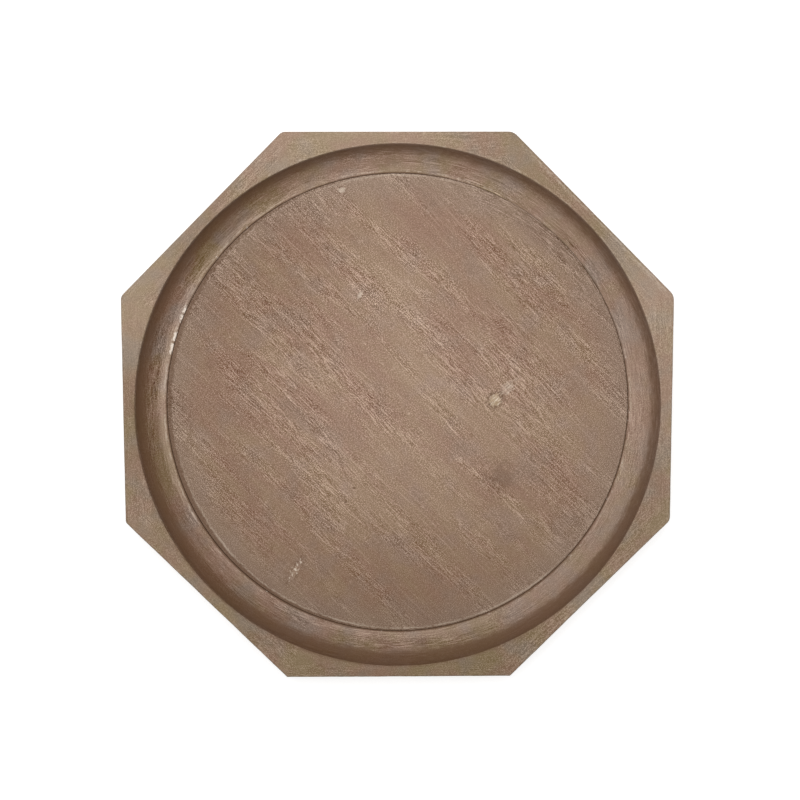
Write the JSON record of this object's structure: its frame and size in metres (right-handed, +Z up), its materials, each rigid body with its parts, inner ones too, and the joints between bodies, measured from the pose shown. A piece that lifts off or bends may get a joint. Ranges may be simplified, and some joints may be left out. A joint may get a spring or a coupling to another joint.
{
  "type": "octagonal wooden tray",
  "caption": "Octagonal wooden tray with a round coved well, mitred rim and level floor panel, in a weathered brown wash.",
  "frame": {"origin": "on the surface that the tray stands on, under the centre of the round well", "axes": "+Z up out of the well; +X and +Y each point at the middle of a side of the octagon"},
  "size_m": [0.4064, 0.4064, 0.038],
  "materials": {
    "rim_wood": "weathered brown wash over open grain, matt",
    "floor_wood": "weathered brown wash over veneer, matt",
    "core_wood": "raw fibreboard",
    "backing_wood": "thin brown wash over veneer, matt",
    "dowel_wood": "raw beech",
    "screw_steel": "zinc plated",
    "foot_rubber": "moulded, matt"
  },
  "bodies": {
    "root": {"rim_segment_1": "rim_wood", "rim_segment_2": "rim_wood", "rim_segment_3": "rim_wood", "rim_segment_4": "rim_wood", "rim_segment_5": "rim_wood", "rim_segment_6": "rim_wood", "rim_segment_7": "rim_wood", "rim_segment_8": "rim_wood", "mitre_dowel_1_lower": "dowel_wood", "mitre_dowel_1_upper": "dowel_wood", "mitre_dowel_2_lower": "dowel_wood", "mitre_dowel_2_upper": "dowel_wood", "mitre_dowel_3_lower": "dowel_wood", "mitre_dowel_3_upper": "dowel_wood", "mitre_dowel_4_lower": "dowel_wood", "mitre_dowel_4_upper": "dowel_wood", "mitre_dowel_5_lower": "dowel_wood", "mitre_dowel_5_upper": "dowel_wood", "mitre_dowel_6_lower": "dowel_wood", "mitre_dowel_6_upper": "dowel_wood", "mitre_dowel_7_lower": "dowel_wood", "mitre_dowel_7_upper": "dowel_wood", "mitre_dowel_8_lower": "dowel_wood", "mitre_dowel_8_upper": "dowel_wood", "floor_veneer": "floor_wood", "floor_core": "core_wood", "backing_veneer": "backing_wood", "panel_screws": "screw_steel", "rubber_foot_1": "foot_rubber", "rubber_foot_2": "foot_rubber", "rubber_foot_3": "foot_rubber", "rubber_foot_4": "foot_rubber"}
  },
  "joints": []
}
